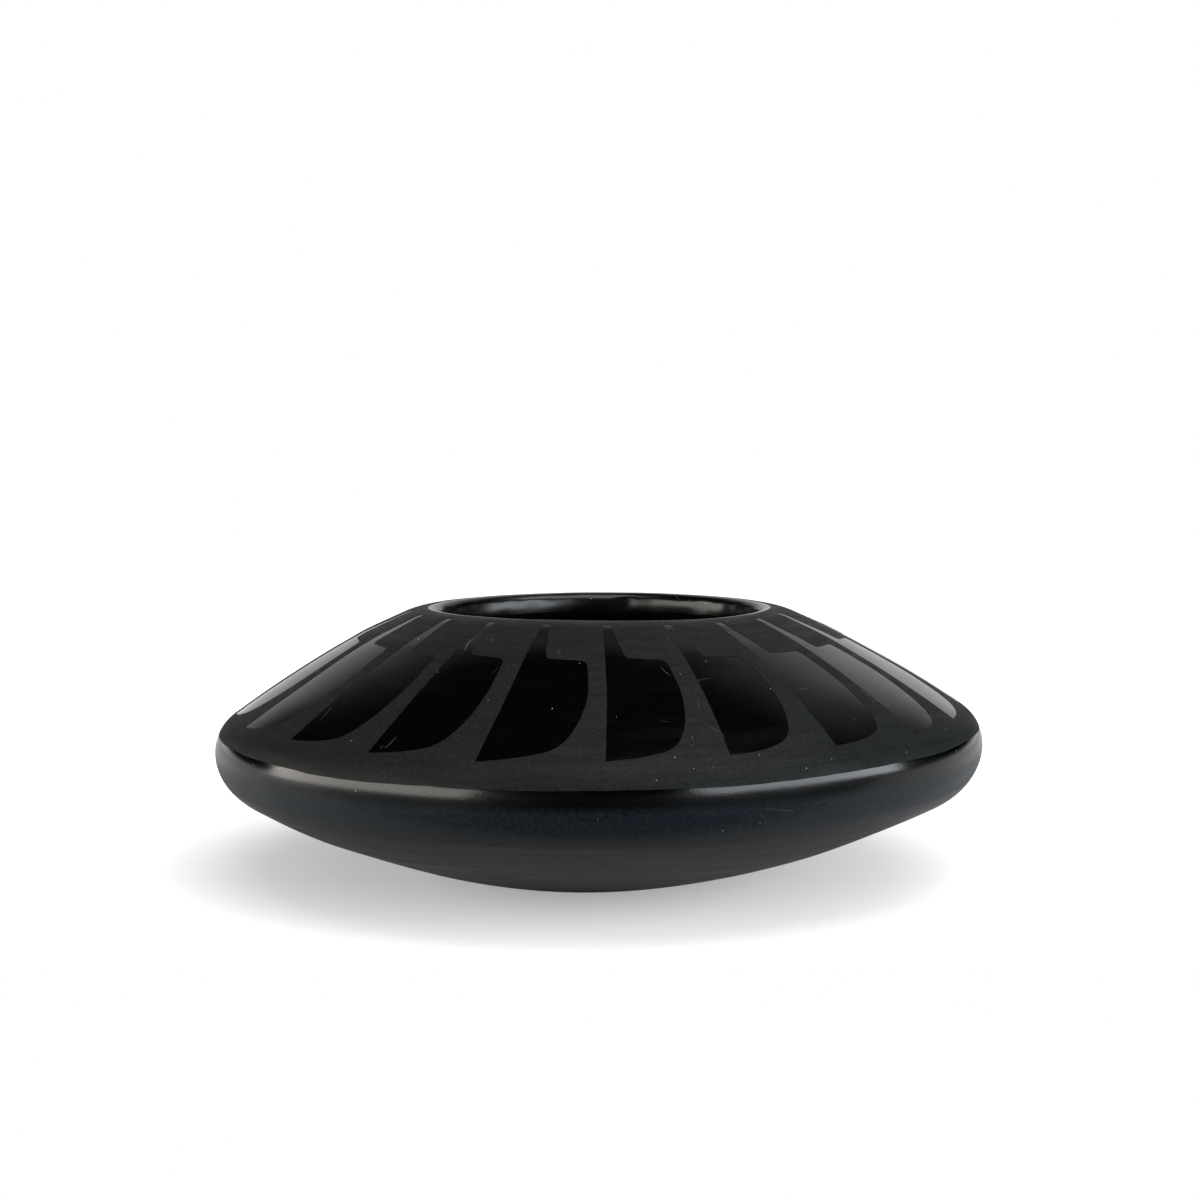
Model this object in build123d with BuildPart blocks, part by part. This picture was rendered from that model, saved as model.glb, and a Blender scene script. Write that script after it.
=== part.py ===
"""Pueblo pottery jar: a low black-on-black jar with a sharp keel, a small mouth and a ring of feathers.

The jar is coil-built by hand. A pan of clay is pressed in a dish, and rings of clay are lapped onto it up to the
rim, each one onto the inner side of the ring below. The wall is scraped smooth, coated with slip and polished with
a stone. A second slip is painted on the shoulder around a ring of feather shapes. It stays matte in the fire, so
the feathers shine.

Units are millimetres, +Z is up, and the origin is the middle of the foot, on the surface that the jar stands on.
The front of the jar is towards -Y.
"""

import os
from math import cos, radians, sin

from build123d import *

os.makedirs("parts", exist_ok=True)

# Outside of the jar: round bends that run into each other from the foot to the top of the lip
keel_radius = 76.0
underside_bend = 160.0
lower_keel_bend = 10.3
upper_keel_bend = 7.5
shoulder_bend = 225.0
lip_bend = 13.4

# Slope of the outside from the horizontal, in degrees, at the ends of the underside and of the shoulder
foot_slope = 9.8
underside_slope = 29.3
shoulder_slope = 35.4
neck_slope = 25.8

# Thickness of the wall, and of the painted coat on it, which is drawn thick enough to be a solid
wall = 4.6
matte_coat = 0.3

# Coils: width of the pan and of the rim coil along the outside, and of the level seat that the rim coil rests on
pan_reach = 20.5
rim_reach = 13.6
rim_seat = 10.0

# Flats that stand in for the round bends: how many on the wall and on the keel, and their corners round the lip
wall_steps = 2
keel_steps = 3
lip_shares = (0.3, 0.7)

# Edges of the painted coat: up from the widest line of the keel, and out from the top of the lip
matte_keel_margin = 2.3
matte_lip_margin = 1.2

# Ring of feathers that the painted coat leaves bare, each with its straight edge along a radius of the jar
feather_count = 21
feather_start_angle = -89.5
feather_tip_margin = 4.0
feather_quill_margin = 3.5

# Corners of a feather: share of the way from quill to tip, and share of the pitch across from the straight edge
tip_share = (1.0, 0.0)
quill_left_share = (0.0, 0.03)
quill_right_share = (0.0, 0.16)
notch_share = (0.32, 0.285)
vane_top_share = (0.335, 0.785)
vane_side_share = (0.62, 0.81)
vane_foot_share = (0.85, 0.7)
vane_heel_share = (0.975, 0.4)

# Radius of the foot, which the bends of the underside leave
lower_keel_run = lower_keel_bend * (1 - sin(radians(underside_slope)))
underside_run = underside_bend * (sin(radians(underside_slope)) - sin(radians(foot_slope)))
foot_radius = keel_radius - lower_keel_run - underside_run

# Outline of the jar: up the outside from the foot, and over the lip to the top of the inside
with BuildLine() as outline:
    foot_heading = (cos(radians(foot_slope)), sin(radians(foot_slope)))
    underside = JernArc((foot_radius, 0), foot_heading, underside_bend, underside_slope - foot_slope)
    lower_keel = JernArc(underside @ 1, underside % 1, lower_keel_bend, 90 - underside_slope)
    upper_keel = JernArc(lower_keel @ 1, lower_keel % 1, upper_keel_bend, 90 - shoulder_slope)
    shoulder = JernArc(upper_keel @ 1, upper_keel % 1, shoulder_bend, shoulder_slope - neck_slope)
    neck = JernArc(shoulder @ 1, shoulder % 1, lip_bend, neck_slope)
    lip = JernArc(neck @ 1, neck % 1, wall / 2, 180)
outside = Wire([underside, lower_keel, upper_keel, shoulder, neck])

# Places along the outside, as lengths from the foot
keel_start = underside.length
keel_middle = keel_start + lower_keel.length
keel_end = keel_middle + upper_keel.length
lip_top = keel_end + shoulder.length + neck.length
rim_start = lip_top - rim_reach
matte_start = keel_middle + matte_keel_margin
matte_end = lip_top - matte_lip_margin


def spread(start, end, steps):
    """Places that part a stretch evenly into a number of steps, with both its ends."""
    return [start + step * (end - start) / steps for step in range(steps + 1)]


def along(places, depth=0):
    """Points at a depth under the outside, at places along it."""
    points = []
    for place in places:
        inward = outside.tangent_at(place, PositionMode.LENGTH).rotate(Axis.Z, 90)
        points.append(outside.position_at(place, PositionMode.LENGTH) + inward * depth)
    return points


def feather_point(share):
    """Point of the feather's outline in plan, with the jar's axis at the origin and the straight edge along +X."""
    outward, across = share
    radius = quill_radius + outward * (tip_radius - quill_radius)
    angle = radians(across * 360 / feather_count)
    return radius * cos(angle), radius * sin(angle)


# Base pan: a flat cake of clay pressed in a dish, whose top is the floor of the jar
pan_edge = along([pan_reach])[0]
with BuildPart() as base_pan:
    with BuildSketch(Plane.XZ):
        with BuildLine():
            Polyline((0, 0), (foot_radius, 0), pan_edge, (0, pan_edge.Y), close=True)
        make_face()
    revolve(axis=Axis.Z)
base_pan.part.label = "base_pan"
export_step(base_pan.part, "parts/base_pan.step")

# Wall coil: the wide bowl of the lower body, which rests on the rim of the pan
with BuildPart() as wall_coil:
    wall_places = spread(pan_reach, keel_start, wall_steps)
    with BuildSketch(Plane.XZ):
        with BuildLine():
            Polyline((foot_radius, pan_edge.Y), *along(wall_places), *along([keel_start], wall), close=True)
        make_face()
    revolve(axis=Axis.Z)
wall_coil.part.label = "wall_coil"
export_step(wall_coil.part, "parts/wall_coil.step")

# Keel coil: bent sharply over the widest line of the jar, and thickest there
with BuildPart() as keel_coil:
    keel_outside = along(spread(keel_start, keel_middle, keel_steps) + [matte_start, keel_end])
    with BuildSketch(Plane.XZ):
        with BuildLine():
            Polyline(*keel_outside, *along([keel_end, keel_start], wall), close=True)
        make_face()
    revolve(axis=Axis.Z)
keel_coil.part.label = "keel_coil"
export_step(keel_coil.part, "parts/keel_coil.step")

# Shoulder coil: the broad cone that leans in over the bowl
with BuildPart() as shoulder_coil:
    rim_edge = along([rim_start])[0]
    with BuildSketch(Plane.XZ):
        with BuildLine():
            seat_edge = (rim_edge.X - rim_seat, rim_edge.Y)
            Polyline(*along([keel_end]), rim_edge, seat_edge, *along([keel_end], wall), close=True)
        make_face()
    revolve(axis=Axis.Z)
shoulder_coil.part.label = "shoulder_coil"
export_step(shoulder_coil.part, "parts/shoulder_coil.step")

# Rim coil: the last ring, rounded over as the lip
with BuildPart() as rim_coil:
    lip_corners = [lip @ share for share in lip_shares]
    with BuildSketch(Plane.XZ):
        with BuildLine():
            Polyline(rim_edge, *along([matte_end]), *lip_corners, ((lip @ 1).X, rim_edge.Y), close=True)
        make_face()
    revolve(axis=Axis.Z)
rim_coil.part.label = "rim_coil"
export_step(rim_coil.part, "parts/rim_coil.step")

# Feather: a quill that widens to a notch, and a vane with one straight edge and one that curves in to the tip
quill_radius = (lip @ 0).X + feather_quill_margin
tip_radius = keel_radius - feather_tip_margin
with BuildSketch() as feather:
    with BuildLine():
        Polyline(*[feather_point(share) for share in (tip_share, quill_left_share, quill_right_share)])
        Polyline(*[feather_point(share) for share in (quill_right_share, notch_share, vane_top_share)])
        ThreePointArc(*[feather_point(share) for share in (vane_top_share, vane_side_share, vane_foot_share)])
        ThreePointArc(*[feather_point(share) for share in (vane_foot_share, vane_heel_share, tip_share)])
    make_face()

# Matte slip: painted on the shoulder between the keel and the lip, around the feathers
with BuildPart() as matte_slip:
    matte_places = [matte_start, keel_end, rim_start, matte_end]
    with BuildSketch(Plane.XZ):
        with BuildLine():
            Polyline(*along(matte_places, -matte_coat), *reversed(along(matte_places)), close=True)
        make_face()
    revolve(axis=Axis.Z)
    with BuildSketch():
        with PolarLocations(0, feather_count, feather_start_angle):
            add(feather.sketch)
    extrude(amount=keel_radius, mode=Mode.SUBTRACT)
matte_slip.part.label = "matte_slip"
export_step(matte_slip.part, "parts/matte_slip.step")
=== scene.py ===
"""Pueblo pottery jar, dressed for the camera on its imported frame.

A low coil-built jar in black-on-black: the whole outside is coated with slip and polished with a stone,
and a second slip that stays matte is painted on the shoulder around a ring of polished feathers.

The clay is made as a pressed pan and four coiled rings that meet at the same joints as in the frame, on
the true round bends of the jar, and the painted slip is a film over them. All of them are then bent by
one slow, small unevenness, as a pot that was shaped by hand.

Units are metres, +Z is up, and the front of the jar is towards -Y.
"""

import logging
import math
import random
from collections.abc import Callable
from dataclasses import dataclass
from enum import Enum
from functools import cached_property
from typing import Any

import bmesh
import bpy
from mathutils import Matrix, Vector, noise
from mathutils.geometry import interpolate_bezier


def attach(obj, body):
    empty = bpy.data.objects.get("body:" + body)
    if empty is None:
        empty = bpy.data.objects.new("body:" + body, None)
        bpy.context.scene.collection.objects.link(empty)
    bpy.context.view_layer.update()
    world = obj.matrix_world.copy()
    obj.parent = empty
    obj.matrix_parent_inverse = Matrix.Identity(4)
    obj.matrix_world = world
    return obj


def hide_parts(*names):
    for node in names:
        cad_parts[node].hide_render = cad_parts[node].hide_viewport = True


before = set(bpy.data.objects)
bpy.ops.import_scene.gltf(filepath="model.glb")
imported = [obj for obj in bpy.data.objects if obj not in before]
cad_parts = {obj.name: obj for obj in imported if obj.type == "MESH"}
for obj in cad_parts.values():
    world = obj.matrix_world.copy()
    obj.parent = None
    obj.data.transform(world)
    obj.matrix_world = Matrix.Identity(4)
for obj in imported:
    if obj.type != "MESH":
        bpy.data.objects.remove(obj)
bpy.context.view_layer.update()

MM = 0.001
LOG = logging.getLogger("jar")

# Seed of the noise that shapes the jar, which would otherwise come from the clock
NOISE_SEED = 2793

# Edges that bend by more than this are shaded as sharp
SHARP_ANGLE = math.radians(20)

# How often a stretch is halved to find a place on it
HALVINGS = 40

Colour = tuple[float, float, float, float]
Span = tuple[float, float]


class Slot(Enum):
    """Material slots of the record."""

    POLISHED = "polished_clay"
    MATTE = "matte_slip"


class Side(Enum):
    """Which side of the wall a face is on, as the place of its material."""

    OUTSIDE = 0
    INSIDE = 1


def linear(code: str) -> Colour:
    """Turns an sRGB hex colour to linear.

    Args:
        code: The colour as "#rrggbb".

    Returns:
        Linear red, green and blue, and an alpha of 1.
    """
    shares = [int(code[i : i + 2], 16) / 255 for i in (1, 3, 5)]
    red, green, blue = [s / 12.92 if s <= 0.04045 else ((s + 0.055) / 1.055) ** 2.4 for s in shares]
    return red, green, blue, 1.0


def smooth_step(value: float) -> float:
    """Eases a value from 0 to 1, flat at both ends and beyond them."""
    share = min(max(value, 0.0), 1.0)
    return share * share * (3 - 2 * share)


def halve(low: float, high: float, too_low: Callable[[float], bool]) -> float:
    """Finds the place on a stretch at which a test changes, by halving the stretch.

    Args:
        low: Start of the stretch, where the test is true.
        high: End of the stretch, where it is false.
        too_low: The test.

    Returns:
        The place.
    """
    for _ in range(HALVINGS):
        middle = (low + high) / 2
        low, high = (middle, high) if too_low(middle) else (low, middle)
    return low


# Outline


@dataclass(frozen=True)
class Bend:
    """A round bend of the outline, which turns to the left from its start."""

    start: Vector
    heading: float
    radius: float
    turn: float

    @property
    def length(self) -> float:
        """Length of the bend along its round."""
        return self.radius * self.turn

    def at(self, length: float) -> tuple[Vector, float]:
        """Finds a place on the bend.

        Args:
            length: Length along the bend from its start.

        Returns:
            The point as (radius, height), and the heading there.
        """
        left = Vector((-math.sin(self.heading), math.cos(self.heading)))
        heading = self.heading + length / self.radius
        turned = Vector((-math.sin(heading), math.cos(heading)))
        return self.start + (left - turned) * self.radius, heading


@dataclass(frozen=True)
class JarOutline:
    """Outside of the jar: round bends that run into each other from the foot to the lip, and over it.

    The neck is drawn in a little more than the bends alone would bring it. A reach is a length along this
    outside from the foot.
    """

    keel_radius: float = 76.0 * MM
    underside_bend: float = 165.0 * MM
    lower_keel_bend: float = 10.0 * MM
    upper_keel_bend: float = 7.5 * MM
    shoulder_bend: float = 225.0 * MM
    neck_bend: float = 13.4 * MM
    lip_round: float = 1.7 * MM
    lip_face_bend: float = 9.5 * MM
    lip_heel_round: float = 1.3 * MM
    foot_slope: float = math.radians(10.15)
    underside_slope: float = math.radians(29.2)
    shoulder_slope: float = math.radians(35.4)
    neck_slope: float = math.radians(25.8)
    lip_face_lean: float = math.radians(14)
    lip_heel_lean: float = math.radians(1)
    lip_draw: float = 0.8 * MM
    draw_start: float = 14.0 * MM
    draw_end: float = 5.0 * MM
    wall: float = 4.6 * MM
    pan_reach: float = 20.5 * MM
    rim_reach: float = 13.6 * MM
    long_step: float = 1.2 * MM
    turn_step: float = math.radians(2.5)
    seam_step: float = 0.05 * MM

    @cached_property
    def foot_radius(self) -> float:
        """Radius of the flat foot, which the bends of the underside leave."""
        keel_run = self.lower_keel_bend * (1 - math.sin(self.underside_slope))
        underside_run = self.underside_bend * (math.sin(self.underside_slope) - math.sin(self.foot_slope))
        return self.keel_radius - keel_run - underside_run

    @cached_property
    def bends(self) -> list[Bend]:
        """Underside, lower keel, upper keel, shoulder, neck, and the lip's round, face and heel, in order."""
        turns = (
            (self.underside_bend, self.underside_slope - self.foot_slope),
            (self.lower_keel_bend, math.pi / 2 - self.underside_slope),
            (self.upper_keel_bend, math.pi / 2 - self.shoulder_slope),
            (self.shoulder_bend, self.shoulder_slope - self.neck_slope),
            (self.neck_bend, self.neck_slope),
            (self.lip_round, math.pi / 2 - self.lip_face_lean),
            (self.lip_face_bend, self.lip_face_lean + self.lip_heel_lean),
            (self.lip_heel_round, math.pi / 2 - self.lip_heel_lean),
        )
        found: list[Bend] = []
        point, heading = Vector((self.foot_radius, 0.0)), self.foot_slope
        for radius, turn in turns:
            bend = Bend(point, heading, radius, turn)
            point, heading = bend.at(bend.length)
            found.append(bend)
        return found

    def reach_after(self, count: int) -> float:
        """Reach of the end of the bend of that number, counted from the foot."""
        return sum(bend.length for bend in self.bends[:count])

    @cached_property
    def keel_start(self) -> float:
        """Reach at which the underside turns into the keel."""
        return self.reach_after(1)

    @cached_property
    def keel_middle(self) -> float:
        """Reach of the widest line of the jar."""
        return self.reach_after(2)

    @cached_property
    def keel_end(self) -> float:
        """Reach at which the keel turns into the shoulder."""
        return self.reach_after(3)

    @cached_property
    def lip_top(self) -> float:
        """Reach of the top of the lip."""
        return self.reach_after(5)

    @cached_property
    def lip_end(self) -> float:
        """Reach at which the lip has rolled over to the inside."""
        return self.reach_after(8)

    @cached_property
    def rim_start(self) -> float:
        """Reach of the joint under the rim."""
        return self.lip_top - self.rim_reach

    def at(self, reach: float, depth: float = 0.0) -> tuple[Vector, float]:
        """Finds a place in the section of the wall.

        Args:
            reach: Length along the outside from the foot.
            depth: How far under the outside; less than 0 is above it.

        Returns:
            The point as (radius, height), and the heading of the outside there.
        """
        length, bends = reach, list(self.bends)
        while len(bends) > 1 and length > bends[0].length:
            length -= bends.pop(0).length
        point, heading = bends[0].at(length)
        inward = Vector((-math.sin(heading), math.cos(heading)))
        drawn = smooth_step((reach - self.lip_top + self.draw_start) / (self.draw_start - self.draw_end))
        return point + inward * depth - Vector((self.lip_draw * drawn, 0)), heading

    def reach_at(self, radius: float) -> float:
        """Reach on the shoulder or neck at a distance from the axis."""
        return halve(self.keel_middle, self.lip_top, lambda reach: self.at(reach)[0].x > radius)

    def places(self, start: float, end: float) -> list[float]:
        """Parts a stretch of the outside finely enough for its bends.

        Args:
            start: Reach of the stretch's start.
            end: Reach of its end.

        Returns:
            Reaches from start to end, with a very short step at each end to carry the light over a joint.
        """
        found = [start, start + self.seam_step]
        bend_start = 0.0
        for bend in self.bends:
            bend_end = bend_start + bend.length
            low, high = max(start, bend_start), min(end, bend_end)
            if high - low > 2 * self.seam_step:
                step = min(self.long_step, bend.radius * self.turn_step)
                count = math.ceil((high - low) / step)
                found += [low + (high - low) * i / count for i in range(1, count + 1)]
            bend_start = bend_end
        kept = [reach for reach in found if reach < end - 2 * self.seam_step]
        return kept + [end - self.seam_step, end]


# Shape by hand


@dataclass(frozen=True)
class HandShaping:
    """The unevenness of a pot that was shaped by hand.

    The lower body stands a little off the axis and is slightly tucked in above the foot, the keel isn't
    quite level, and slow dents and swellings run all over.
    """

    lean: float = 1.5 * MM
    lean_low: float = 11.5 * MM
    lean_high: float = 20.0 * MM
    neck_lean: float = 0.3 * MM
    neck_height: float = 42.0 * MM
    neck_spread: float = 11.0 * MM
    foot_drift: float = 1.3 * MM
    drift_height: float = 10.5 * MM
    tuck: float = 0.014
    tuck_height: float = 4.6 * MM
    tuck_spread: float = 8.0 * MM
    keel_radius: float = JarOutline.keel_radius
    keel_height: float = 27.0 * MM
    keel_tilt: float = 0.9 * MM
    tilt_spread: float = 23.0 * MM
    dent_depth: float = 0.28 * MM
    dent_width: float = 34.0 * MM
    dent_place: tuple[float, float, float] = (3.1, 7.7, 1.9)
    ripple_depth: float = 0.05 * MM
    ripple_width: float = 11.0 * MM
    still_height: float = 7.0 * MM

    @staticmethod
    def bump(value: float, middle: float, spread: float) -> float:
        """A smooth hump: 1 at its middle, and 0 from its spread on."""
        share = min(abs(value - middle) / spread, 1.0)
        return (1 - share * share) ** 2

    def moved(self, point: Vector) -> Vector:
        """Moves a point of the even jar to its place in the uneven one.

        Args:
            point: A point of the even jar.

        Returns:
            The same point of the uneven jar. The foot stays flat and level.
        """
        free = smooth_step(point.z / self.still_height)
        dent_point = point / self.dent_width + Vector(self.dent_place)
        dent = noise.noise_vector(dent_point, noise_basis="PERLIN_NEW")
        ripple = noise.noise_vector(point / self.ripple_width, noise_basis="PERLIN_NEW")
        shift = (dent * self.dent_depth + ripple * self.ripple_depth) * free
        shift.x -= self.lean * smooth_step((self.lean_high - point.z) / (self.lean_high - self.lean_low))
        shift.x += self.neck_lean * self.bump(point.z, self.neck_height, self.neck_spread)
        shift.x -= self.foot_drift * smooth_step(1 - point.z / self.drift_height)
        tuck = self.tuck * self.bump(point.z, self.tuck_height, self.tuck_spread)
        shift -= tuck * Vector((point.x, point.y, 0))
        level = self.bump(point.z, self.keel_height, self.tilt_spread)
        shift.z += self.keel_tilt * point.x / self.keel_radius * level
        return point + shift


# Finishes

# The middle of what a noise gives, which is stretched so that it shows
NOISE_MIDDLE: Span = (0.35, 0.65)


@dataclass(frozen=True)
class Nodes:
    """Short ways to add nodes to a node tree.

    Where no other result is named, each takes sockets or plain values and gives the new node's socket.
    """

    tree: bpy.types.NodeTree

    def feed(self, node: bpy.types.Node, inputs: dict[int | str, Any]) -> None:
        """Links sockets to a node's inputs, and writes plain values on them.

        Args:
            node: The node.
            inputs: The sockets and values, by the inputs' names or places.
        """
        for key, value in inputs.items():
            if isinstance(value, bpy.types.NodeSocket):
                self.tree.links.new(value, node.inputs[key])
            else:
                node.inputs[key].default_value = value

    def add(self, kind: str, inputs: dict[int | str, Any] | None = None, **settings: Any) -> bpy.types.Node:
        """Adds a node.

        Args:
            kind: The node's type after "ShaderNode", such as "TexNoise".
            inputs: Sockets and values for its inputs, by their names or places.
            settings: Properties of the node by name.

        Returns:
            The node.
        """
        node = self.tree.nodes.new("ShaderNode" + kind)
        for name, value in settings.items():
            setattr(node, name, value)
        self.feed(node, inputs or {})
        return node

    def math(self, operation: str, *values: Any) -> Any:
        """Works on numbers."""
        return self.add("Math", dict(enumerate(values)), operation=operation).outputs[0]

    def vector(self, operation: str, *values: Any) -> Any:
        """Works on vectors. The result is a vector, or a number for a distance."""
        outputs = self.add("VectorMath", dict(enumerate(values)), operation=operation).outputs
        return outputs["Value" if operation == "DISTANCE" else "Vector"]

    def ranged(
        self, value: Any, span: Span, low: float = 0.0, high: float = 1.0, kind: str = "LINEAR"
    ) -> Any:
        """Turns a span of a number into low to high, and stays level beyond its ends."""
        ends = {"From Min": span[0], "From Max": span[1], "To Min": low, "To Max": high}
        return self.add("MapRange", {"Value": value} | ends, interpolation_type=kind).outputs[0]

    def eased(self, value: Any, span: Span, low: float = 0.0, high: float = 1.0) -> Any:
        """Turns a span of a number into low to high, with soft ends."""
        return self.ranged(value, span, low, high, "SMOOTHSTEP")

    def noise(self, place: Any, scale: float, detail: float, roughness: float = 0.5) -> Any:
        """Gives a soft noise, between 0 and 1."""
        inputs = {"Vector": place, "Scale": scale, "Detail": detail, "Roughness": roughness}
        return self.add("TexNoise", inputs).outputs["Fac"]

    def mix(self, share: Any, first: Any, second: Any) -> Any:
        """Mixes two colours by the second one's share."""
        return self.add("Mix", {0: share, 6: first, 7: second}, data_type="RGBA").outputs[2]

    def bump(self, height: Any, depth: float, normal: Any = None, strength: Any = 1.0) -> Any:
        """Gives the normal of a surface that goes up and down with a height."""
        under = {} if normal is None else {"Normal": normal}
        inputs = {"Height": height, "Distance": depth, "Strength": strength} | under
        return self.add("Bump", inputs).outputs["Normal"]

    def place(self) -> Any:
        """Gives the place on the piece, in metres."""
        return self.add("TexCoord").outputs["Object"]

    def reach(self) -> Any:
        """Gives the reach that the mesh carries."""
        return self.add("Attribute", attribute_name="reach").outputs["Fac"]

    def strokes(self, place: Any, reach: Any, turns: float, width: float) -> Any:
        """Gives coordinates that are drawn out round the jar, for the strokes of a hand.

        Args:
            place: Socket of the place on the piece.
            reach: Socket of the reach.
            turns: How many strokes long a radius of the jar is.
            width: Width of a stroke.

        Returns:
            The coordinates, with a stroke as the unit.
        """
        heading = self.vector("NORMALIZE", self.vector("MULTIPLY", place, (1, 1, 0)))
        wide = self.vector("MULTIPLY", heading, (turns, turns, 0))
        up = self.add("CombineXYZ", {"Z": self.math("DIVIDE", reach, width)}).outputs[0]
        return self.vector("ADD", wide, up)

    def rays(self) -> tuple[Any, Any]:
        """Gives a number that is 1 for the camera's own rays, and one that is 1 for mirrored or bent ones."""
        path = self.add("LightPath").outputs
        mirrored = self.math("MAXIMUM", path["Is Glossy Ray"], path["Is Transmission Ray"])
        return path["Is Camera Ray"], mirrored


def new_finish(name: str) -> tuple[bpy.types.Material, Nodes, bpy.types.Node]:
    """Starts a material.

    Args:
        name: Its name.

    Returns:
        The material, its nodes and its shader.
    """
    made = bpy.data.materials.new(name)
    made.use_nodes = True
    return made, Nodes(made.node_tree), made.node_tree.nodes["Principled BSDF"]


@dataclass(frozen=True)
class Handling:
    """What clay and use leave on a slip: a fine grain, a few hair scratches and specks of dust.

    The scratches are short and faint. They and the specks are a little larger than real ones, to be seen.
    """

    grain_width: float = 0.45 * MM
    speck_spacing: float = 1.6 * MM
    speck_size: float = 0.12 * MM
    speck_chance: Span = (0.76, 1.0)
    scratch_spacing: float = 13.0 * MM
    scratch_width: float = 0.0026
    scratch_dust: float = 0.16
    bend_width: float = 16.0 * MM
    bend_depth: float = 12.0 * MM
    patch_width: float = 7.0 * MM
    patch_edge: Span = (0.67, 0.75)

    def specks(self, nodes: Nodes, place: Any) -> Any:
        """Scatters specks of dust, at most one in each cell and in a quarter of the cells.

        Args:
            nodes: Nodes of the finish.
            place: Socket of the place on the piece.

        Returns:
            A socket that is 1 on a speck and 0 elsewhere.
        """
        cells = nodes.add("TexVoronoi", {"Vector": place, "Scale": 1 / self.speck_spacing}).outputs
        chance = nodes.add("SeparateColor", {"Color": cells["Color"]}).outputs[0]
        size = nodes.ranged(chance, self.speck_chance, 0.0, self.speck_size / self.speck_spacing)
        return nodes.math("LESS_THAN", cells["Distance"], size)

    def scratches(self, nodes: Nodes, place: Any) -> Any:
        """Draws hair-fine scratches: parts of the borders between large bent cells.

        Args:
            nodes: Nodes of the finish.
            place: Socket of the place on the piece.

        Returns:
            A socket that is above 0 on a scratch and 0 elsewhere.
        """
        drift = nodes.add("TexNoise", {"Vector": place, "Scale": 1 / self.bend_width, "Detail": 1.0})
        bent = nodes.vector("MULTIPLY_ADD", drift.outputs["Color"], (self.bend_depth,) * 3, place)
        cell_size = {"Vector": bent, "Scale": 1 / self.scratch_spacing}
        cells = nodes.add("TexVoronoi", cell_size, feature="DISTANCE_TO_EDGE")
        line = nodes.math("LESS_THAN", cells.outputs["Distance"], self.scratch_width)
        patches = nodes.noise(place, 1 / self.patch_width, 0.0)
        return nodes.math("MULTIPLY", line, nodes.ranged(patches, self.patch_edge, 0.0, self.scratch_dust))

    def marked(self, nodes: Nodes, place: Any, slip: Any, salt: Span, dust: str) -> tuple[Any, Any, Any]:
        """Adds grain and marks to the colour of a slip.

        Args:
            nodes: Nodes of the finish.
            place: Socket of the place on the piece.
            slip: Socket of the slip's own colour.
            salt: How dark and how light the grain makes it.
            dust: Colour of specks and scratches.

        Returns:
            Sockets of the colour, the grain and the specks.
        """
        grain = nodes.noise(place, 1 / self.grain_width, 2.0)
        specks = self.specks(nodes, place)
        speckled = nodes.ranged(grain, NOISE_MIDDLE, *salt)
        salted = nodes.add("VectorMath", {0: slip, "Scale": speckled}, operation="SCALE").outputs[0]
        marks = nodes.math("MAXIMUM", specks, self.scratches(nodes, place))
        return nodes.mix(marks, salted, linear(dust)), grain, specks


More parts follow.
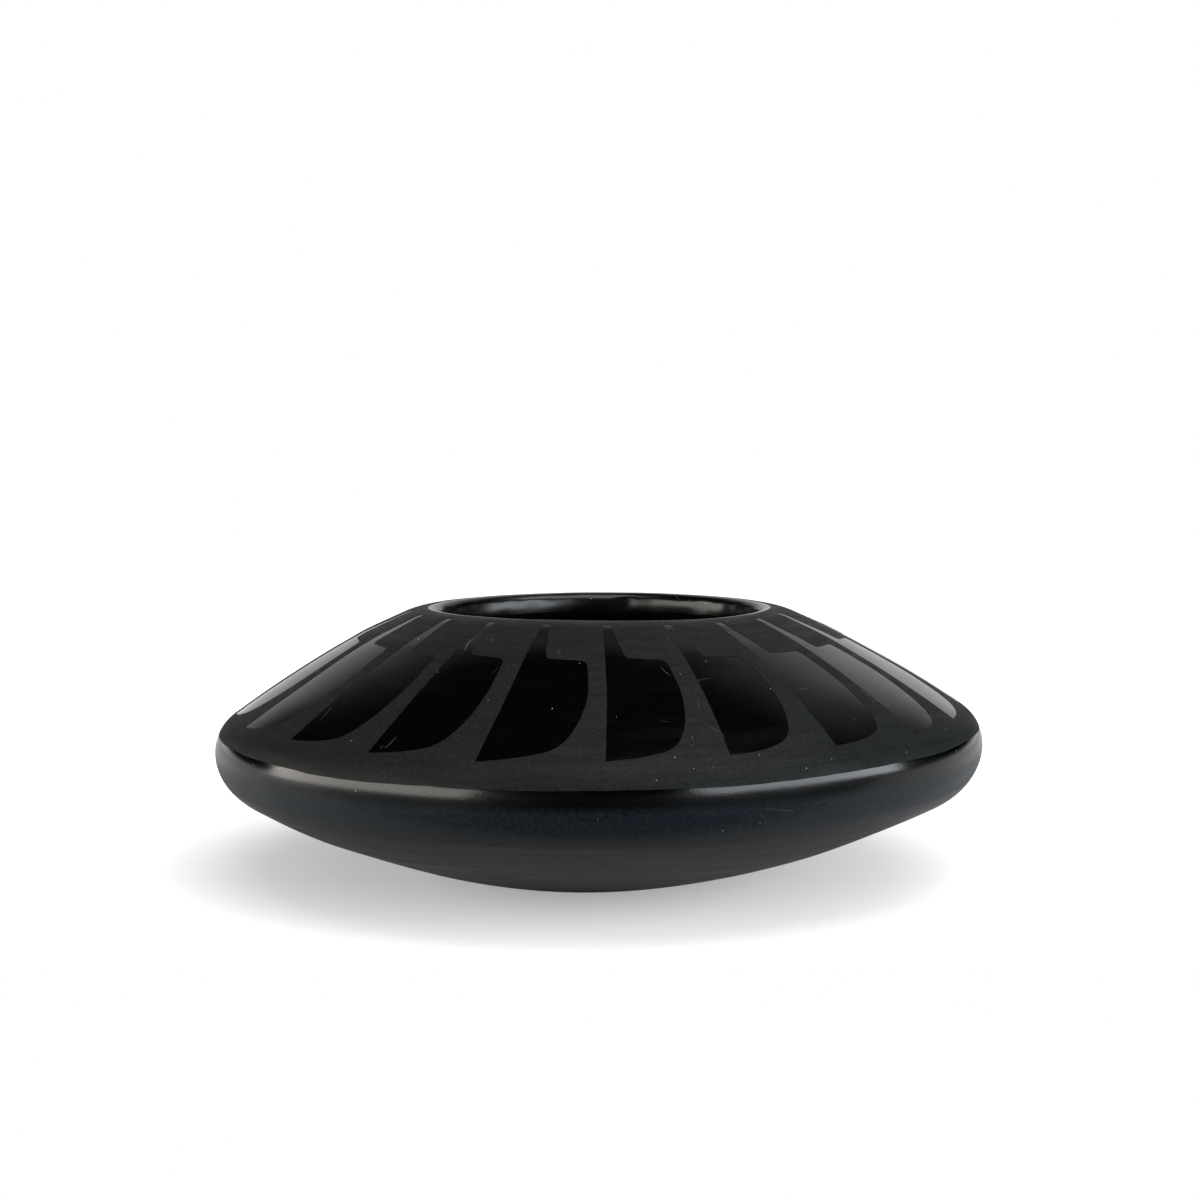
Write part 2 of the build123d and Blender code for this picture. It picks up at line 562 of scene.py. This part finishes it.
@dataclass(frozen=True)
class StonePolishedSlip:
    """Clay slip rubbed with a smooth stone while damp and smoked black in the fire.

    It is close to black, with a deep soft gloss: the stone leaves long faint strokes round the jar, which
    break up what it mirrors. Under the keel the gloss turns to satin, and there the colour is a painted
    sheen: a lighter bluish grey for the dim bluish room that the lower keel mirrors.
    """

    name: str = "stone_polished_black_slip"
    body: str = "#020303"
    # Painted sheen: a lighter bluish tone under the keel, for the dim bluish room that the lower keel mirrors
    painted_sheen_body: str = "#141b20"
    dust: str = "#a9aba8"
    salt: Span = (0.5, 1.5)
    ior: float = 1.35

    # Roughness of the strokes, what satin and wear add to it, and the share near the foot of the satin and of
    # its painted sheen
    gloss: Span = (0.08, 0.15)
    satin: float = 0.27
    worn: float = 0.15
    low_satin_and_sheen: float = 0.4

    # Stretches of the reach over which the satin with its painted sheen, its haze, the grain and the wear of
    # the lip come or go
    painted_sheen_end: Span = (63.6 * MM, 65.2 * MM)
    satin_and_sheen_start: Span = (56.0 * MM, 60.0 * MM)
    haze_edge: Span = (68.8 * MM, 63.6 * MM)
    grain_edge: Span = (70.0 * MM, 65.2 * MM)
    worn_edge: Span = (115.4 * MM, 117.6 * MM)

    stroke_length: float = 22.0 * MM
    stroke_width: float = 2.6 * MM
    stroke_height: float = 0.012 * MM
    stroke_radius: float = 65.0 * MM
    lump_width: float = 9.0 * MM
    lump_height: float = 0.03 * MM
    grain_height: float = 0.02 * MM

    def material(self) -> bpy.types.Material:
        """Builds the material.

        Returns:
            A new material.
        """
        made, nodes, shader = new_finish(self.name)
        place, reach = nodes.place(), nodes.reach()
        path = nodes.strokes(place, reach, self.stroke_radius / self.stroke_length, self.stroke_width)
        strokes = nodes.noise(path, 1.0, 3.0)
        gloss = nodes.ranged(strokes, NOISE_MIDDLE, *self.gloss)

        # Painted sheen: the colour turns lighter and bluish on the lower keel bend, and partly on the
        # underside below it
        low = nodes.ranged(reach, self.satin_and_sheen_start, self.low_satin_and_sheen)
        satin = nodes.math("MINIMUM", nodes.ranged(reach, self.painted_sheen_end, 1.0, 0.0), low)
        slip = nodes.mix(satin, linear(self.body), linear(self.painted_sheen_body))
        colour, grain, specks = Handling().marked(nodes, place, slip, self.salt, self.dust)

        haze = nodes.math("MINIMUM", nodes.ranged(reach, self.haze_edge), low)
        hazed = nodes.math("MULTIPLY_ADD", haze, self.satin, gloss)
        dulled = nodes.math("ADD", hazed, nodes.ranged(reach, self.worn_edge, 0.0, self.worn))
        rough = nodes.math("MAXIMUM", dulled, specks)

        lumps = nodes.bump(nodes.noise(place, 1 / self.lump_width, 1.0), self.lump_height)
        stroked = nodes.bump(strokes, self.stroke_height, lumps)
        normal = nodes.bump(grain, self.grain_height, stroked, nodes.ranged(reach, self.grain_edge))
        nodes.feed(shader, {"IOR": self.ior, "Base Color": colour, "Roughness": rough, "Normal": normal})
        return made


@dataclass(frozen=True)
class MattePaintedSlip:
    """A second slip, thin as milk and painted on with a yucca-leaf brush over the polish, which stays matte.

    It is a dark soft grey, a little uneven where the brush went over twice, and it catches dust.
    """

    name: str = "matte_painted_black_slip"
    thin: str = "#0c0f0e"
    thick: str = "#141716"
    dust: str = "#8f908c"
    salt: Span = (0.55, 1.45)
    ior: float = 1.2
    roughness: Span = (0.64, 0.52)
    coat_edge: Span = (0.3, 0.7)
    brush_length: float = 14.0 * MM
    brush_width: float = 1.8 * MM
    brush_radius: float = 60.0 * MM
    grain_height: float = 0.008 * MM

    def material(self) -> bpy.types.Material:
        """Builds the material.

        Returns:
            A new material.
        """
        made, nodes, shader = new_finish(self.name)
        place = nodes.place()
        turns = self.brush_radius / self.brush_length
        path = nodes.strokes(place, nodes.reach(), turns, self.brush_width)
        coat = nodes.ranged(nodes.noise(path, 1.0, 4.0, 0.6), self.coat_edge)
        slip = nodes.mix(coat, linear(self.thin), linear(self.thick))
        colour, grain, _ = Handling().marked(nodes, place, slip, self.salt, self.dust)
        rough = nodes.ranged(coat, (0.0, 1.0), *self.roughness)
        normal = nodes.bump(grain, self.grain_height)
        nodes.feed(shader, {"IOR": self.ior, "Base Color": colour, "Roughness": rough, "Normal": normal})
        return made


@dataclass(frozen=True)
class WipedClay:
    """Clay inside the jar, scraped and wiped with a wet rag but never polished, and smoked with the rest.

    It is a dull sooty black with the drag of the rag in it.
    """

    name: str = "wiped_sooty_clay"
    soot: str = "#0d0d0d"
    clay: str = "#1d1c1b"
    ior: float = 1.45
    roughness: float = 0.7
    drag_width: float = 3.0 * MM
    drag_length: float = 9.0 * MM
    drag_height: float = 0.08 * MM

    def material(self) -> bpy.types.Material:
        """Builds the material.

        Returns:
            A new material.
        """
        made, nodes, shader = new_finish(self.name)
        scale = (1 / self.drag_length, 1 / self.drag_length, 1 / self.drag_width)
        drawn = nodes.add("Mapping", {"Vector": nodes.place(), "Scale": scale}).outputs[0]
        drag = nodes.noise(drawn, 1.0, 5.0)
        colour = nodes.mix(drag, linear(self.soot), linear(self.clay))
        normal = nodes.bump(drag, self.drag_height)
        feel = {"IOR": self.ior, "Roughness": self.roughness}
        nodes.feed(shader, feel | {"Base Color": colour, "Normal": normal})
        return made


# Clay body


@dataclass(frozen=True)
class SectionPoint:
    """A corner of a ring's section: its place, and its reach, which the strokes of the stone follow."""

    radius: float
    height: float
    reach: float


@dataclass
class ClayBody:
    """The fired body: a pressed pan and four coiled rings that meet at hidden joints."""

    outline: JarOutline
    shaping: HandShaping
    polished: bpy.types.Material
    wiped: bpy.types.Material
    spin_steps: int = 360
    inner_steps: int = 16

    # Lumps on the inner face of the lip, and where past its top they come and go
    lump_height: float = 0.34 * MM
    lump_width: float = 4.6 * MM
    lump_start: float = 1.0 * MM
    lump_rise: float = 1.5 * MM
    lump_end: float = 8.0 * MM
    lump_fall: float = 2.0 * MM

    # Floor, bowl, inside of the keel and throat: how far their curves are pulled at the ends
    floor_dip: float = 1.2 * MM
    floor_bend: float = 0.4
    floor_flat: float = 1 / 3
    keel_pull: float = 7.0 * MM
    groove_share: float = 0.6
    bowl_pull: tuple[float, float] = (12.0 * MM, 0.4 * MM)
    lip_pull: tuple[float, float] = (3.0 * MM, 0.0)
    seat_pull: tuple[float, float] = (-3.0 * MM, 1.2 * MM)

    def skin(self, start: float, end: float) -> list[SectionPoint]:
        """Points along the outside from one reach to another."""
        found = []
        for reach in self.outline.places(start, end):
            point, _ = self.outline.at(reach)
            found.append(SectionPoint(point.x, point.y, reach))
        return found

    def inner(self, start: float, end: float) -> list[SectionPoint]:
        """Points along the inside, a wall's thickness down, from one reach back to a lower one."""
        found = []
        for reach in reversed(self.outline.places(end, start)):
            point, _ = self.outline.at(reach, self.outline.wall)
            found.append(SectionPoint(point.x, point.y, self.outline.lip_end + self.outline.lip_top - reach))
        return found

    def curve(self, start: Vector, start_pull: Vector, end_pull: Vector, end: Vector) -> list[SectionPoint]:
        """Points along a smooth curve deep inside between two points, drawn towards two others."""
        points = interpolate_bezier(start, start_pull, end_pull, end, self.inner_steps)
        deep = self.outline.lip_end + self.outline.lip_top
        return [SectionPoint(point.x, point.y, deep) for point in points]

    def seat_reach(self, height: float) -> float:
        """Reach at which the inside of the wall is at the height of the rim's level seat."""
        line = self.outline
        return halve(line.keel_end, line.lip_top, lambda reach: line.at(reach, line.wall)[0].y < height)

    def spin(self, name: str, section: list[SectionPoint], open_at_axis: bool) -> bpy.types.Object:
        """Spins a section about the axis of the jar, and bends the ring as the hand-shaped jar is bent.

        Args:
            name: Name of the piece.
            section: Corners of the section in order.
            open_at_axis: True if the section ends on the axis and isn't closed there.

        Returns:
            The finished piece.
        """
        mesh = bmesh.new()
        layer = mesh.verts.layers.float.new("reach")
        corners = []
        for corner in section:
            vert = mesh.verts.new((corner.radius, 0, corner.height))
            vert[layer] = corner.reach
            corners.append(vert)
        pairs = list(zip(corners, corners[1:]))
        if not open_at_axis:
            pairs.append((corners[-1], corners[0]))
        edges = [mesh.edges.new(pair) for pair in pairs]
        bmesh.ops.spin(
            mesh,
            geom=corners + edges,
            angle=math.tau,
            steps=self.spin_steps,
            axis=(0, 0, 1),
            cent=(0, 0, 0),
            use_merge=True,
        )
        bmesh.ops.remove_doubles(mesh, verts=mesh.verts, dist=1e-7)
        bmesh.ops.dissolve_degenerate(mesh, dist=1e-8, edges=mesh.edges)
        bmesh.ops.recalc_face_normals(mesh, faces=mesh.faces)
        shade(mesh)
        for face in mesh.faces:
            middle = sum(vert[layer] for vert in face.verts) / len(face.verts)
            side = Side.INSIDE if middle > self.outline.lip_end else Side.OUTSIDE
            face.material_index = side.value
        for vert in mesh.verts:
            past = vert[layer] - self.outline.lip_top
            rise = smooth_step((past - self.lump_start) / self.lump_rise)
            lumpy = rise * smooth_step((self.lump_end - past) / self.lump_fall)
            lump = noise.noise(vert.co / self.lump_width, noise_basis="PERLIN_NEW") * self.lump_height
            out = Vector((vert.co.x, vert.co.y, 0)).normalized()
            vert.co = self.shaping.moved(vert.co) + out * lump * lumpy
        return finished(name, mesh, [self.polished, self.wiped])

    def pan(self) -> list[SectionPoint]:
        """Section of the pressed pan: the flat foot, the start of the underside and the hollow floor."""
        line = self.outline
        level = line.at(line.pan_reach)[0].y
        edge, middle = Vector((line.foot_radius, level)), Vector((0.0, level - self.floor_dip))
        flat = Vector((edge.x * self.floor_flat, middle.y))
        floor = self.curve(edge, edge.lerp(middle, self.floor_bend), flat, middle)
        foot = [SectionPoint(0.0, 0.0, 0.0), SectionPoint(line.foot_radius / 2, 0.0, 0.0)]
        return foot + self.skin(0.0, line.pan_reach) + floor

    def wall(self) -> list[SectionPoint]:
        """Section of the wall ring, from the pan to the keel."""
        line = self.outline
        floor_edge = Vector((line.foot_radius, line.at(line.pan_reach)[0].y))
        top, heading = line.at(line.keel_start, line.wall)
        pull = Vector((math.cos(heading), math.sin(heading))) * self.keel_pull
        bowl = self.curve(top, top - pull, floor_edge + Vector(self.bowl_pull), floor_edge)
        return self.skin(line.pan_reach, line.keel_start) + bowl

    def keel(self) -> list[SectionPoint]:
        """Section of the keel ring, with a rounded groove inside."""
        line = self.outline
        low, low_heading = line.at(line.keel_start, line.wall)
        high, high_heading = line.at(line.keel_end, line.wall)
        pull = self.keel_pull * self.groove_share
        low_pull = Vector((math.cos(low_heading), math.sin(low_heading))) * pull
        high_pull = Vector((math.cos(high_heading), math.sin(high_heading))) * pull
        groove = self.curve(high, high - high_pull, low + low_pull, low)
        return self.skin(line.keel_start, line.keel_end) + groove

    def shoulder(self, seat: float) -> list[SectionPoint]:
        """Section of the shoulder ring, up to the level seat of the rim."""
        line = self.outline
        return self.skin(line.keel_end, line.rim_start) + self.inner(seat, line.keel_end)

    def rim(self, seat: float) -> list[SectionPoint]:
        """Section of the rim ring: over the lip, and down the throat to the seat."""
        line = self.outline
        lip = self.skin(line.lip_top, line.lip_end)[1:]
        low, seat_low = line.at(line.lip_end)[0], line.at(seat, line.wall)[0]
        throat = self.curve(low, low + Vector(self.lip_pull), seat_low + Vector(self.seat_pull), seat_low)
        return self.skin(line.rim_start, line.lip_top) + lip + throat[1:]

    def build(self) -> None:
        """Makes the pan and the rings, each in place of its own node of the frame."""
        seat = self.seat_reach(self.outline.at(self.outline.rim_start)[0].y)
        for name, node, section, opened in (
            ("pressed_pan", "base_pan", self.pan(), True),
            ("wall_ring", "wall_coil", self.wall(), False),
            ("keel_ring", "keel_coil", self.keel(), False),
            ("shoulder_ring", "shoulder_coil", self.shoulder(seat), False),
            ("rim_ring", "rim_coil", self.rim(seat), False),
        ):
            place_on_jar(self.spin(name, section, opened), node)


# Painted slip


@dataclass(frozen=True)
class FeatherCorner:
    """A corner of the feather: shares outward from quill to tip and across the pitch, and its rounding."""

    outward: float
    across: float
    rounding: float


@dataclass(frozen=True)
class FeatherPattern:
    """A feather as the brush leaves it: a straight edge, a quill, a notch, and a vane that curves in."""

    count: int = 21
    start_angle: float = math.radians(-89.5)
    quill_margin: float = 3.5 * MM
    tip_margin: float = 4.0 * MM
    round_steps: int = 7
    round_pull: float = 2 / 3
    corners: tuple[FeatherCorner, ...] = (
        FeatherCorner(1.0, 0.0, 0.0),
        FeatherCorner(0.0, 0.03, 0.0),
        FeatherCorner(0.0, 0.16, 0.0),
        FeatherCorner(0.32, 0.285, 0.12),
        FeatherCorner(0.333, 0.79, 0.16),
        FeatherCorner(0.62, 0.82, 0.5),
        FeatherCorner(0.92, 0.66, 0.5),
        FeatherCorner(0.985, 0.33, 0.5),
    )

    # Usual differences between feathers, as shares of their length and pitch
    slip_spread: float = 0.012
    length_spread: float = 0.008
    width_spread: float = 0.02
    outward_spread: float = 0.004
    across_spread: float = 0.006

    def outline(self, hand: random.Random) -> list[tuple[float, float]]:
        """Draws one feather, a little different from the others.

        Args:
            hand: Source of the small differences.

        Returns:
            Points round the feather as shares outward and across.
        """
        slip, lengthen = hand.gauss(0, self.slip_spread), hand.gauss(0, self.length_spread)
        widen = hand.gauss(1, self.width_spread)
        drawn = []
        for corner in self.corners:
            outward = corner.outward + lengthen * corner.outward + hand.gauss(0, self.outward_spread)
            across = slip + corner.across * widen + hand.gauss(0, self.across_spread)
            drawn.append(Vector((outward, across, 0)))
        points: list[tuple[float, float]] = []
        for i, corner in enumerate(self.corners):
            here, before, after = drawn[i], drawn[i - 1], drawn[(i + 1) % len(drawn)]
            if not corner.rounding:
                points.append((here.x, here.y))
                continue
            enter = here.lerp(before, corner.rounding)
            leave = here.lerp(after, corner.rounding)
            pulls = enter.lerp(here, self.round_pull), leave.lerp(here, self.round_pull)
            bend = interpolate_bezier(enter, *pulls, leave, self.round_steps)
            points += [(point.x, point.y) for point in bend]
        return points


@dataclass
class PaintedSlip:
    """The matte slip on the shoulder: a thin film from the keel to the lip, painted around the feathers."""

    outline: JarOutline
    shaping: HandShaping
    pattern: FeatherPattern
    finish: bpy.types.Material
    keel_margin: float = 2.3 * MM
    lip_margin: float = 0.5 * MM
    above: float = 0.05 * MM
    thickness: float = 0.08 * MM
    sheet_radius: float = 60.0 * MM
    cut_angle: float = math.radians(1)
    lead: float = 0.085

    # Lower edge: how far it strays, its waves, its rise to the sides, and how far in this fades at each edge
    edge_wave: float = 0.35 * MM
    long_waves: float = 4.0
    short_waves: float = 19.0
    wave_level: float = 0.3
    edge_rise: float = 1.1 * MM
    keel_ease: float = 3.0 * MM
    lip_ease: float = 2.0 * MM

    # Small shake of the brush
    edge_shake: float = 0.07 * MM
    shake_width: float = 4.0 * MM
    hand_seed: int = 2793

    @property
    def start(self) -> float:
        """Reach of the lower edge."""
        return self.outline.keel_middle + self.keel_margin

    @property
    def end(self) -> float:
        """Reach of the upper edge."""
        return self.outline.lip_top - self.lip_margin

    def sector(self, number: int, hand: random.Random) -> bmesh.types.BMesh:
        """Paints one feather's share of the film, flat, with the turn along X and the reach along Y.

        Args:
            number: Which feather, counted from the front.
            hand: Source of the small differences.

        Returns:
            The flat sheet, cut into the same small steps as the clay under it.
        """
        pitch = math.tau / self.pattern.count
        first = self.pattern.start_angle + (number - self.lead) * pitch
        last = first + pitch
        quill = self.outline.at(self.outline.lip_top)[0].x + self.pattern.quill_margin
        tip = self.outline.keel_radius - self.pattern.tip_margin
        sheet = bmesh.new()
        feather = []
        for outward, across in self.pattern.outline(hand):
            angle = self.pattern.start_angle + (number + across) * pitch
            feather.append((angle, self.outline.reach_at(quill + outward * (tip - quill))))
        low, high = (feather[0][0], self.start), (feather[1][0], self.end)
        left = [(first, self.start), low, *feather[:2], high, (first, self.end)]
        right = [low, (last, self.start), (last, self.end), high, *feather[1:], feather[0]]
        for loop in (left, right):
            sheet.faces.new([sheet.verts.new((angle * self.sheet_radius, reach, 0)) for angle, reach in loop])
        bmesh.ops.remove_doubles(sheet, verts=sheet.verts, dist=1e-8)
        bmesh.ops.triangulate(sheet, faces=sheet.faces)
        steps = range(math.ceil(first / self.cut_angle), math.ceil(last / self.cut_angle))
        turns = [step * self.cut_angle * self.sheet_radius for step in steps]
        cuts = [(Vector((turn, 0, 0)), Vector((1, 0, 0))) for turn in turns]
        reaches = self.outline.places(self.start, self.end)[2:-2]
        cuts += [(Vector((0, reach, 0)), Vector((0, 1, 0))) for reach in reaches]
        for point, normal in cuts:
            everything = sheet.verts[:] + sheet.edges[:] + sheet.faces[:]
            bmesh.ops.bisect_plane(sheet, geom=everything, dist=1e-7, plane_co=point, plane_no=normal)
        return sheet

    def wrapped(self, flat: Vector) -> tuple[Vector, float]:
        """Wraps a point of the flat film on the even jar, with its edges drawn by a hand.

        Args:
            flat: The point, with the turn along X and the reach along Y.

        Returns:
            The point on the jar, and its reach there.
        """
        turn, reach = flat.x / self.sheet_radius, flat.y
        way = Vector((math.cos(turn), math.sin(turn), self.wave_level))
        wave = noise.noise(way * self.long_waves) * self.edge_wave
        wave += noise.noise(way * self.short_waves) * self.edge_wave / 3
        wave += self.edge_rise * smooth_step((1 + math.sin(turn)) * 2)
        ring = Vector((math.cos(turn) * self.sheet_radius, math.sin(turn) * self.sheet_radius, reach))
        shake = noise.noise_vector(ring / self.shake_width) * self.edge_shake
        turn += shake.x / self.sheet_radius
        low = smooth_step((reach - self.start) / self.keel_ease)
        held = low * smooth_step((self.end - reach) / self.lip_ease)
        drawn = reach + wave * (1 - low) + shake.y * held
        point, _ = self.outline.at(drawn, -self.above)
        return Vector((point.x * math.cos(turn), point.x * math.sin(turn), point.y)), drawn

    def build(self) -> None:
        """Paints all the sectors, wraps them on the jar and gives them their thickness."""
        hand = random.Random(self.hand_seed)
        film = bmesh.new()
        layer = film.verts.layers.float.new("reach")
        for number in range(self.pattern.count):
            sheet = self.sector(number, hand)
            flat = bpy.data.meshes.new("sheet")
            sheet.to_mesh(flat)
            sheet.free()
            film.from_mesh(flat)
            bpy.data.meshes.remove(flat)
        for vert in film.verts:
            vert.co, vert[layer] = self.wrapped(vert.co)
        bmesh.ops.remove_doubles(film, verts=film.verts, dist=1e-6)
        bmesh.ops.recalc_face_normals(film, faces=film.faces)
        if sum(face.normal.z * face.calc_area() for face in film.faces) < 0:
            bmesh.ops.reverse_faces(film, faces=film.faces)
        bmesh.ops.solidify(film, geom=film.faces[:], thickness=self.thickness)
        shade(film)
        for vert in film.verts:
            vert.co = self.shaping.moved(vert.co)
        place_on_jar(finished("painted_slip", film, [self.finish]), "matte_slip")


def shade(mesh: bmesh.types.BMesh) -> None:
    """Shades a mesh as smooth, apart from its sharp edges."""
    for face in mesh.faces:
        face.smooth = True
    for edge in mesh.edges:
        edge.smooth = edge.calc_face_angle(0.0) < SHARP_ANGLE


def finished(name: str, mesh: bmesh.types.BMesh, materials: list[bpy.types.Material]) -> bpy.types.Object:
    """Turns a bmesh into an object of the scene, at the origin.

    Args:
        name: Name of the piece.
        mesh: The mesh, which is used up.
        materials: Its materials, in the order of its faces' material places.

    Returns:
        The new object.
    """
    data = bpy.data.meshes.new(name)
    mesh.to_mesh(data)
    mesh.free()
    for material in materials:
        data.materials.append(material)
    piece = bpy.data.objects.new(name, data)
    bpy.context.scene.collection.objects.link(piece)
    return piece


def place_on_jar(piece: bpy.types.Object, node: str) -> None:
    """Puts a piece on the jar, in place of the CAD node that it stands for.

    Args:
        piece: The finished piece.
        node: Name of the node.
    """
    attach(piece, "root")
    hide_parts(node)
    LOG.info("%s: %d faces, in place of %s", piece.name, len(piece.data.polygons), node)


# Studio


@dataclass(frozen=True)
class SoftLamp:
    """A soft lamp that looks at the jar: where it stands, its size, and its power in watts."""

    name: str
    place: tuple[float, float, float]
    size: tuple[float, float]
    power: float
    colour: str = "#ffffff"
    aim: tuple[float, float, float] = (0.0, 0.0, 0.03)


@dataclass(frozen=True)
class Studio:
    """Plain studio: a white sheet, a lit wall behind, a dim room in front, soft lamps and the camera.

    Parts of the surroundings begin and end by the direction of a ray, which is a vector of length 1.
    """

    camera_place: tuple[float, float, float] = (0.2 * MM, -416.4 * MM, 88.5 * MM)
    camera_pitch: float = math.radians(85.4)
    lens: float = 62.6
    nearest: float = 0.01

    # Sheet, and how far from the middle of its shadow the lift comes, for the camera and in mirrors. The lift
    # is a glow, held low round that middle, which is set a little off the axis: a disc of painted shade that
    # adds to the lamps' real shadow, and in mirrors a floor painted dark under the jar.
    sheet_size: float = 1.2
    sheet_front: float = 0.076
    sheet_tone: str = "#a6a6a6"
    sheet_roughness: float = 0.9
    sheet_lift: float = 0.34
    shadow_middle: tuple[float, float, float] = (-0.012, 0.02, 0.0)
    shadow_edge: Span = (0.03, 0.14)
    mirrored_edge: Span = (0.09, 0.2)

    # Behind the jar: where that begins, the wall with its rise, tip and ends, and the low white band
    behind_edge: Span = (-0.3, 0.2)
    wall_light: float = 0.85
    wall_rise: Span = (0.42, 1.05)
    wall_tip: float = 0.18
    wall_ends: Span = (0.54, 0.37)
    band_edge: Span = (0.02, 0.1)

    # In front of the jar: the room's tone, its light low down and higher up, its sides and its ground
    room_tone: str = "#c4d6e6"
    room_light: float = 0.3
    room_dusk: float = 0.075
    room_edge: Span = (-0.05, 0.1)
    room_sides: Span = (0.34, 0.5)
    ground_edge: Span = (-0.5, -0.8)

    lamps: tuple[SoftLamp, ...] = (
        SoftLamp("front_left_lamp", (-0.66, -0.25, 0.19), (1.02, 0.30), 6.6, "#fffaf2"),
        SoftLamp("front_right_lamp", (0.75, -0.42, 0.29), (1.1, 0.30), 9.5, "#f4f9ff"),
        SoftLamp("top_lamp", (0.2, -0.38, 1.15), (1.4, 0.9), 18.0),
    )

    def camera(self) -> None:
        """Sets up the camera at the viewing angle of the photograph."""
        data = bpy.data.cameras.new("camera")
        data.lens = self.lens
        data.clip_start = self.nearest
        camera = bpy.data.objects.new("camera", data)
        camera.location = self.camera_place
        camera.rotation_euler = (self.camera_pitch, 0, 0)
        bpy.context.scene.collection.objects.link(camera)
        bpy.context.scene.camera = camera

    def sheet(self) -> None:
        """Lays the white paper sheet under the jar, lifted by a glow for the rays that show it but not as a
        light. The glow is held low near the jar: painted shade round the lamps' shadow, and in what the jar
        mirrors.
        """
        mesh = bmesh.new()
        bmesh.ops.create_grid(mesh, x_segments=1, y_segments=1, size=self.sheet_size)
        for vert in mesh.verts:
            vert.co.y = max(vert.co.y, -self.sheet_front)
        finish, nodes, shader = new_finish("white_paper_sheet")
        camera_ray, mirrored_ray = nodes.rays()
        away = nodes.vector("DISTANCE", nodes.place(), self.shadow_middle)
        # Painted shade: the glow fades towards the shadow's middle, to a third for the camera, and to nothing
        # over a wider disc in mirrors
        seen = nodes.eased(away, self.shadow_edge, self.sheet_lift)
        mirrored = nodes.eased(away, self.mirrored_edge, 0.0, self.sheet_lift)
        direct = nodes.math("MULTIPLY", seen, camera_ray)
        lift = nodes.math("MULTIPLY_ADD", mirrored, mirrored_ray, direct)
        paper = {"Base Color": linear(self.sheet_tone), "Roughness": self.sheet_roughness}
        shine = {"Specular IOR Level": 0.0, "Emission Color": (1, 1, 1, 1), "Emission Strength": lift}
        nodes.feed(shader, paper | shine)
        finished("paper_sheet", mesh, [finish])

    def world(self) -> None:
        """Surrounds the scene with white for the camera, and with a lit wall and a dim room for the jar."""
        world = bpy.data.worlds.new("studio")
        world.use_nodes = True
        nodes = Nodes(world.node_tree)
        camera_ray, mirrored_ray = nodes.rays()
        way = nodes.add("TexCoord").outputs["Generated"]
        x, y, z = nodes.add("SeparateXYZ", {"Vector": way}).outputs
        aside = nodes.math("ABSOLUTE", x)
        behind = nodes.eased(y, self.behind_edge)

        rise = nodes.math("MULTIPLY_ADD", x, self.wall_tip, y)
        height = nodes.eased(rise, self.wall_rise, 0.0, self.wall_light)
        wall = nodes.math("MULTIPLY", nodes.eased(aside, self.wall_ends), height)
        band = nodes.math("MULTIPLY", behind, nodes.eased(z, self.band_edge, 1.0, 0.0))
        white = nodes.math("MAXIMUM", nodes.math("MULTIPLY", band, mirrored_ray), camera_ray)

        sides = nodes.eased(aside, self.room_sides)
        room = nodes.math("MULTIPLY", sides, nodes.eased(z, self.room_edge, self.room_light, self.room_dusk))
        ground = nodes.eased(z, self.ground_edge, 0.0, self.room_light)
        before = nodes.math("SUBTRACT", 1.0, behind)
        front = nodes.math("MULTIPLY", nodes.math("MAXIMUM", room, ground), before)

        strength = nodes.math("MAXIMUM", nodes.math("MAXIMUM", wall, white), front)
        plain = nodes.math("MAXIMUM", behind, camera_ray)
        tone = nodes.mix(plain, linear(self.room_tone), (1, 1, 1, 1))
        nodes.feed(world.node_tree.nodes["Background"], {"Color": tone, "Strength": strength})
        bpy.context.scene.world = world

    def light(self) -> None:
        """Hangs the soft lamps."""
        for lamp in self.lamps:
            data = bpy.data.lights.new(lamp.name, "AREA")
            data.shape = "RECTANGLE"
            data.size, data.size_y = lamp.size
            data.energy = lamp.power
            data.color = linear(lamp.colour)[:3]
            hung = bpy.data.objects.new(lamp.name, data)
            hung.location = lamp.place
            way = Vector(lamp.aim) - Vector(lamp.place)
            hung.rotation_euler = way.to_track_quat("-Z", "Y").to_euler()
            hung.visible_camera = False
            bpy.context.scene.collection.objects.link(hung)

    def build(self) -> None:
        """Sets up the whole studio."""
        self.camera()
        self.sheet()
        self.world()
        self.light()
        bpy.context.scene.view_settings.view_transform = "Standard"


def main() -> None:
    """Builds the jar and the studio, and reports each piece."""
    logging.basicConfig(level=logging.INFO, format="%(message)s")
    noise.seed_set(NOISE_SEED)
    outline = JarOutline()
    shaping = HandShaping()
    polished = StonePolishedSlip().material()
    Studio().build()
    ClayBody(outline, shaping, polished, WipedClay().material()).build()
    PaintedSlip(outline, shaping, FeatherPattern(), MattePaintedSlip().material()).build()


if __name__ == "__main__":
    main()
